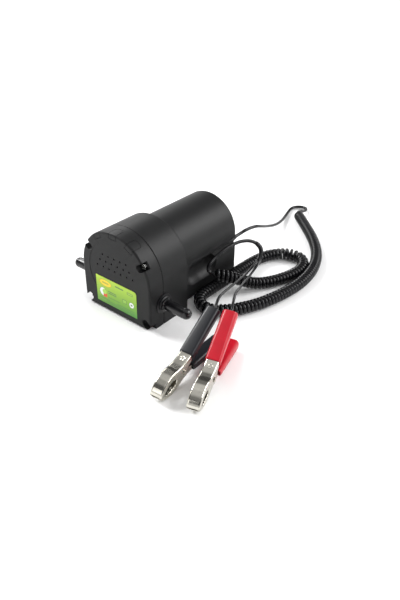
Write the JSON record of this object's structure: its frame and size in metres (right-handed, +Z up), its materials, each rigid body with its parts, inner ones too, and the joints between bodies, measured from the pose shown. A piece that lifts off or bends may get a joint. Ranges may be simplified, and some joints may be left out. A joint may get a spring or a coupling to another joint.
{
  "type": "fluid transfer pump",
  "caption": "Electric gear pump for oil and diesel: D-shaped black case, round motor end, capped hose ports, curly lead and battery clips.",
  "frame": {"origin": "on the floor under the middle of the case, halfway between its front face and its rear wall", "axes": "+Z up, the front cover faces -Y, the motor end and the lead's gland face +Y, the hose ports point along +X and -X"},
  "size_m": [0.269, 0.4742, 0.1051],
  "materials": {
    "case_plastic": "fine moulded grain",
    "label_print": "printed film",
    "screw_steel": "bright zinc",
    "cap_rubber": "shiny",
    "soft_rubber": "satin",
    "nipple_brass": "turned",
    "pump_aluminium": "cast, machined faces",
    "gear_steel": "sintered",
    "shaft_steel": "ground",
    "can_steel": "zinc plated",
    "magnet": "fired ferrite",
    "core_steel": "stacked sheets",
    "copper": "enamelled wire",
    "bearing_bronze": "sintered bronze",
    "carbon": "pressed carbon",
    "holder_plastic": "moulded",
    "switch_plastic": "moulded",
    "rocker_red": "moulded",
    "cable_black": "glossy sheath",
    "clip_nickel": "nickel plated",
    "spring_steel": "drawn",
    "sleeve_red": "dipped",
    "sleeve_black": "dipped"
  },
  "bodies": {
    "pump": {"front_cover": "case_plastic", "latch_tabs": "case_plastic", "label": "label_print", "main_housing": "case_plastic", "upper_cover_screws": "screw_steel", "lower_cover_screws": "screw_steel", "right_port_collar": "soft_rubber", "left_port_collar": "soft_rubber", "right_hose_nipple": "nipple_brass", "left_hose_nipple": "nipple_brass", "pump_block": "pump_aluminium", "pump_end_plate": "pump_aluminium", "pump_plate_screws": "screw_steel", "idler_pin": "shaft_steel", "shaft_seal": "soft_rubber", "motor_can": "can_steel", "motor_front_bell": "pump_aluminium", "motor_rear_bell": "pump_aluminium", "motor_front_bearing": "bearing_bronze", "motor_rear_bearing": "bearing_bronze", "field_magnets": "magnet", "motor_bolts": "screw_steel", "carbon_brushes": "carbon", "brush_holders": "holder_plastic", "motor_rubber_rings": "soft_rubber", "switch_body": "switch_plastic", "switch_pin": "spring_steel", "cable_gland": "soft_rubber", "lead_cable": "cable_black", "coil_cord": "cable_black", "tail_cable": "cable_black", "red_wire": "cable_black", "black_wire": "cable_black", "red_clip_lower_jaw": "clip_nickel", "red_clip_lower_sleeve": "sleeve_red", "red_clip_rivet": "clip_nickel", "red_clip_spring": "spring_steel", "black_clip_lower_jaw": "clip_nickel", "black_clip_lower_sleeve": "sleeve_black", "black_clip_rivet": "clip_nickel", "black_clip_spring": "spring_steel"},
    "rotor": {"rotor_shaft": "shaft_steel", "armature_core": "core_steel", "armature_windings": "copper", "commutator": "copper", "drive_gear": "gear_steel"},
    "idler": {"idler_gear": "gear_steel"},
    "left_cap": {"left_port_cap": "cap_rubber"},
    "right_cap": {"right_port_cap": "cap_rubber"},
    "rocker": {"switch_rocker": "rocker_red"},
    "red_clip_half": {"red_clip_upper_jaw": "clip_nickel", "red_clip_upper_sleeve": "sleeve_red"},
    "black_clip_half": {"black_clip_upper_jaw": "clip_nickel", "black_clip_upper_sleeve": "sleeve_black"}
  },
  "joints": [
    {"name": "rotor_spin", "type": "hinge", "parent": "pump", "child": "rotor", "pos_m": [0, 0, 0.0554], "axis": [0, 1, 0], "continuous": true},
    {"name": "idler_spin", "type": "hinge", "parent": "pump", "child": "idler", "pos_m": [0, 0, 0.0377], "axis": [0, 1, 0], "continuous": true},
    {"name": "left_cap_pull", "type": "slide", "parent": "pump", "child": "left_cap", "axis": [-1, 0, 0], "range_m": [0, 0.024]},
    {"name": "right_cap_pull", "type": "slide", "parent": "pump", "child": "right_cap", "axis": [1, 0, 0], "range_m": [0, 0.024]},
    {"name": "switch_press", "type": "hinge", "parent": "pump", "child": "rocker", "pos_m": [0, 0.0769, 0.062], "axis": [1, 0, 0], "range_deg": [0, 18]},
    {"name": "red_clip_squeeze", "type": "hinge", "parent": "pump", "child": "red_clip_half", "pos_m": [0.15962, -0.11675, 0.01624], "axis": [-0.9553, -0.2957, 0], "range_deg": [0, 22], "stiffness_Nm_per_rad": 0.3, "springref_deg": -68.75, "deforming": ["red_clip_spring"]},
    {"name": "black_clip_squeeze", "type": "hinge", "parent": "pump", "child": "black_clip_half", "pos_m": [0.13014, -0.12549, 0.01624], "axis": [-0.9959, -0.0906, 0], "range_deg": [0, 22], "stiffness_Nm_per_rad": 0.3, "springref_deg": -68.75, "deforming": ["black_clip_spring"]}
  ],
  "couplings": [
    {"joint": "idler_spin", "follows": "rotor_spin", "ratio": -1}
  ]
}
